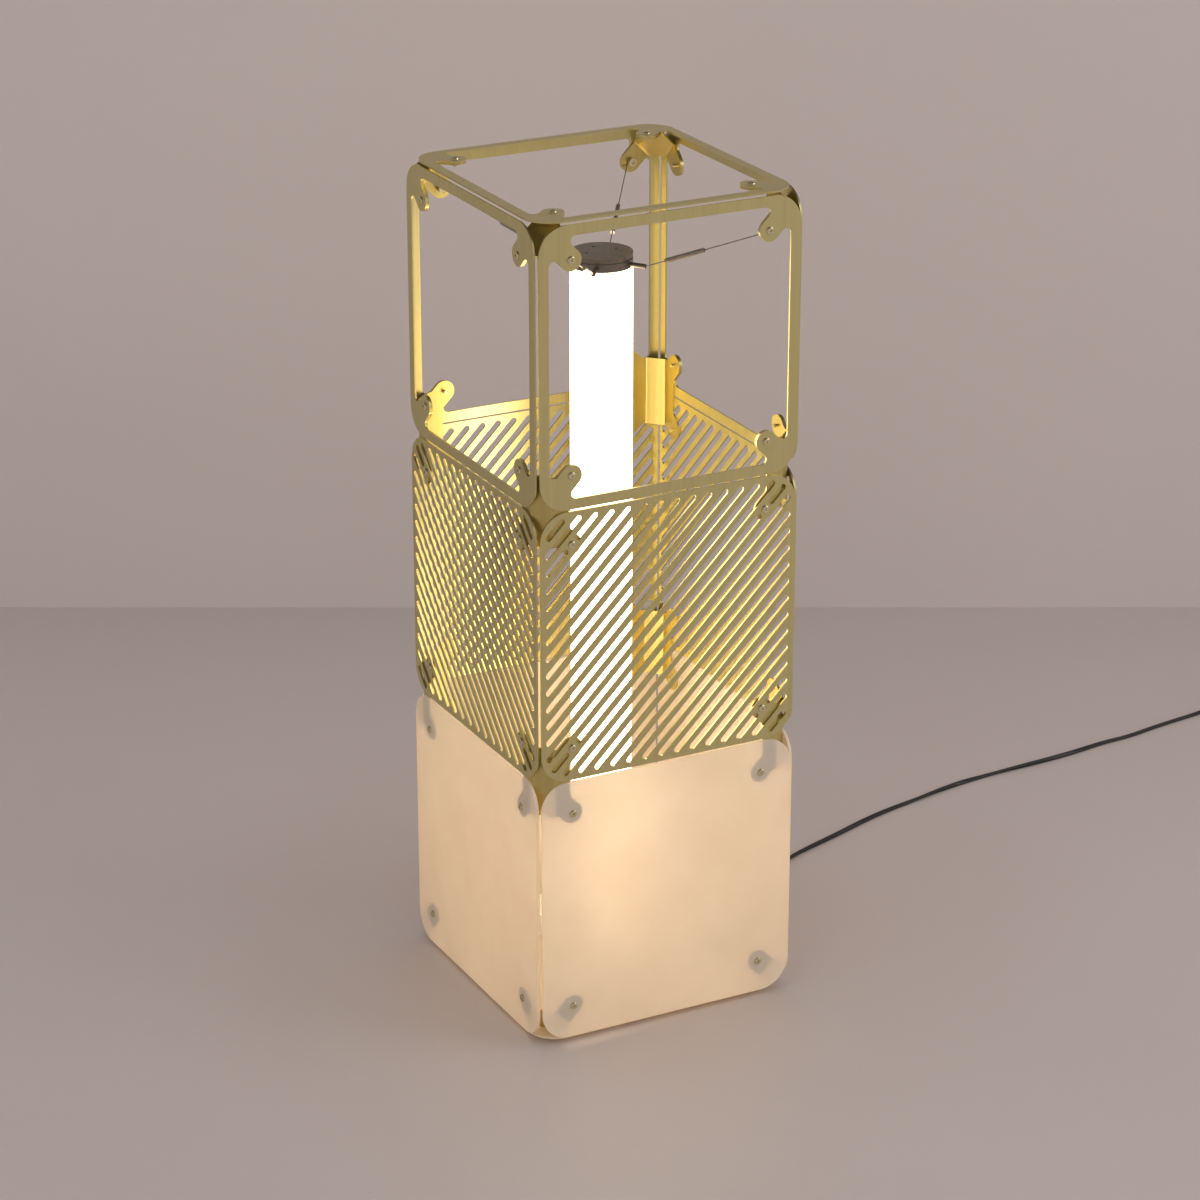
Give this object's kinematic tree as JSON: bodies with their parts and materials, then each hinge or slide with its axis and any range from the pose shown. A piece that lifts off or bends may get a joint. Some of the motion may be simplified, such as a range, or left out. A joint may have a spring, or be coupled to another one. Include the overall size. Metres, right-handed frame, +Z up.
{
  "type": "column floor lamp",
  "caption": "Square column floor lamp of open, slotted and opal plate modules round an upright light tube, with a floor cord, foot switch and plug.",
  "frame": {"origin": "on the floor, under the centre of the column", "axes": "+Z up along the column; -Y is the front, +X the right side, where the cord leaves"},
  "size_m": [1.3555, 0.4232, 0.8958],
  "materials": {
    "brass_sheet": "brushed, brass-tone anodised sheet",
    "opal_acrylic": "satin opal acrylic, lit from behind",
    "opal_tube": "opal acrylic tube, lit",
    "screw_steel": "satin steel with a warm tint",
    "dark_bronze": "satin dark bronze anodised",
    "foot_rubber": "matt",
    "bare_aluminium": "satin",
    "led_board": "white circuit board",
    "white_plastic": "matt",
    "black_plastic": "fine satin texture",
    "black_cord": "smooth flexible jacket",
    "nickel_pins": "nickel-plated"
  },
  "bodies": {
    "lamp": {"base_plate": "brass_sheet", "bottom_corner_bracket_1": "brass_sheet", "bottom_corner_bracket_2": "brass_sheet", "bottom_corner_bracket_3": "brass_sheet", "bottom_corner_bracket_4": "brass_sheet", "cap_screws": "dark_bronze", "cord_coil": "black_cord", "cord_free": "black_cord", "cord_gland": "black_plastic", "cord_lead": "black_cord", "diffuser_tube": "opal_tube", "driver_screws": "screw_steel", "frosted_panel_back": "opal_acrylic", "frosted_panel_front": "opal_acrylic", "frosted_panel_left": "opal_acrylic", "frosted_panel_right": "opal_acrylic", "frosted_panel_screws": "screw_steel", "gland_nut": "black_plastic", "lead_wires": "black_cord", "led_driver": "white_plastic", "led_heat_sink": "bare_aluminium", "led_strips": "led_board", "lower_joint_bracket_1": "brass_sheet", "lower_joint_bracket_2": "brass_sheet", "lower_joint_bracket_3": "brass_sheet", "lower_joint_bracket_4": "brass_sheet", "plug_body": "black_plastic", "plug_pins": "nickel_pins", "rubber_feet": "foot_rubber", "slotted_plate_back": "brass_sheet", "slotted_plate_front": "brass_sheet", "slotted_plate_left": "brass_sheet", "slotted_plate_right": "brass_sheet", "slotted_plate_screws": "screw_steel", "socket_screws": "screw_steel", "suspension_wires": "screw_steel", "switch_cover": "black_plastic", "switch_housing": "black_plastic", "switch_spring": "nickel_pins", "tension_sleeves": "screw_steel", "terminal_block": "white_plastic", "top_cap": "dark_bronze", "top_corner_bracket_1": "brass_sheet", "top_corner_bracket_2": "brass_sheet", "top_corner_bracket_3": "brass_sheet", "top_corner_bracket_4": "brass_sheet", "top_frame_plate": "brass_sheet", "tube_socket": "bare_aluminium", "upper_frame_back": "brass_sheet", "upper_frame_front": "brass_sheet", "upper_frame_left": "brass_sheet", "upper_frame_right": "brass_sheet", "upper_frame_screws": "screw_steel", "upper_joint_bracket_1": "brass_sheet", "upper_joint_bracket_2": "brass_sheet", "upper_joint_bracket_3": "brass_sheet", "upper_joint_bracket_4": "brass_sheet", "wire_anchor_nuts": "screw_steel", "wire_anchor_posts": "dark_bronze"},
    "push_button": {"switch_button": "black_plastic"}
  },
  "joints": [
    {"name": "foot_switch_press", "type": "slide", "parent": "lamp", "child": "push_button", "axis": [0, 0, -1], "range_m": [0, 0.0025], "stiffness_N_per_m": 800, "springref_m": -0.003, "deforming": ["switch_spring"]}
  ]
}
